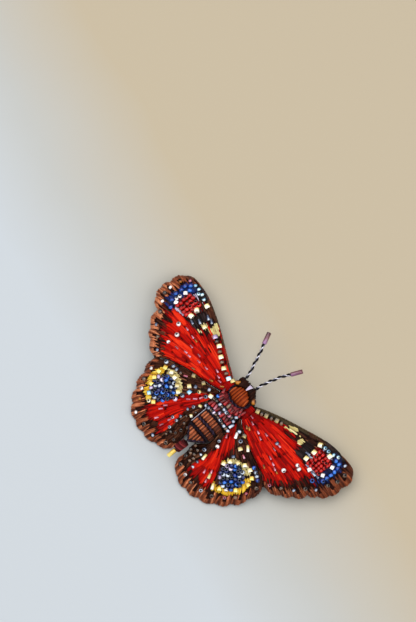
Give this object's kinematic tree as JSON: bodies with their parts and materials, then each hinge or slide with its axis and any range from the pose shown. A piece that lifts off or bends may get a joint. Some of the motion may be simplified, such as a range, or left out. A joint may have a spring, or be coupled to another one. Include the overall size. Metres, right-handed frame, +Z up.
{
  "type": "embroidered beaded butterfly brooch",
  "caption": "Embroidered brooch in the shape of an open-winged peacock butterfly, with glass bead eyespots, twisted wire antennae and a bar pin on the back.",
  "frame": {"origin": "below the middle of the whole brooch's bounding box, on the table it lies on", "axes": "+Y to the head and antennae, +X to the right wings as seen from above, +Z up from the table through the embroidered side"},
  "size_m": [0.0824, 0.0496, 0.0099],
  "materials": {
    "wing_embroidery": "satin silk floss with metallic copper thread and glass seed beads",
    "eyespot_beads": "glossy opaque glass seed beads in blue, white, yellow and red",
    "copper_thread": "metallic copper thread laid side by side",
    "dark_thread": "dark brown and black thread",
    "amber_glass": "glossy amber glass",
    "garnet_beads": "glossy garnet and silver-blue glass beads",
    "gold_glass": "silver-lined gold glass tube",
    "twisted_wire": "black wire and bright silver wire twisted together",
    "lilac_glass": "glossy purple glass tube",
    "black_felt": "matte wool felt",
    "pin_steel": "plain bright steel"
  },
  "bodies": {
    "brooch": {"forewing_left": "wing_embroidery", "forewing_right": "wing_embroidery", "hindwing_left": "wing_embroidery", "hindwing_right": "wing_embroidery", "forewing_left_eyespot": "eyespot_beads", "forewing_right_eyespot": "eyespot_beads", "hindwing_left_eyespot": "eyespot_beads", "hindwing_right_eyespot": "eyespot_beads", "thorax": "copper_thread", "abdomen": "copper_thread", "head": "dark_thread", "eye_left": "amber_glass", "eye_right": "amber_glass", "bead_band": "garnet_beads", "tail_roll": "garnet_beads", "tail_bead": "gold_glass", "antenna_left": "twisted_wire", "antenna_right": "twisted_wire", "antenna_left_tip": "lilac_glass", "antenna_right_tip": "lilac_glass", "body_backing": "black_felt", "pin_bar": "pin_steel"},
    "stem": {"pin_stem": "pin_steel"}
  },
  "joints": [
    {"name": "pin_swing", "type": "hinge", "parent": "brooch", "child": "stem", "pos_m": [-0.01128, 0.00314, 0.0015], "axis": [0, 1, 0], "range_deg": [0, 60]}
  ]
}
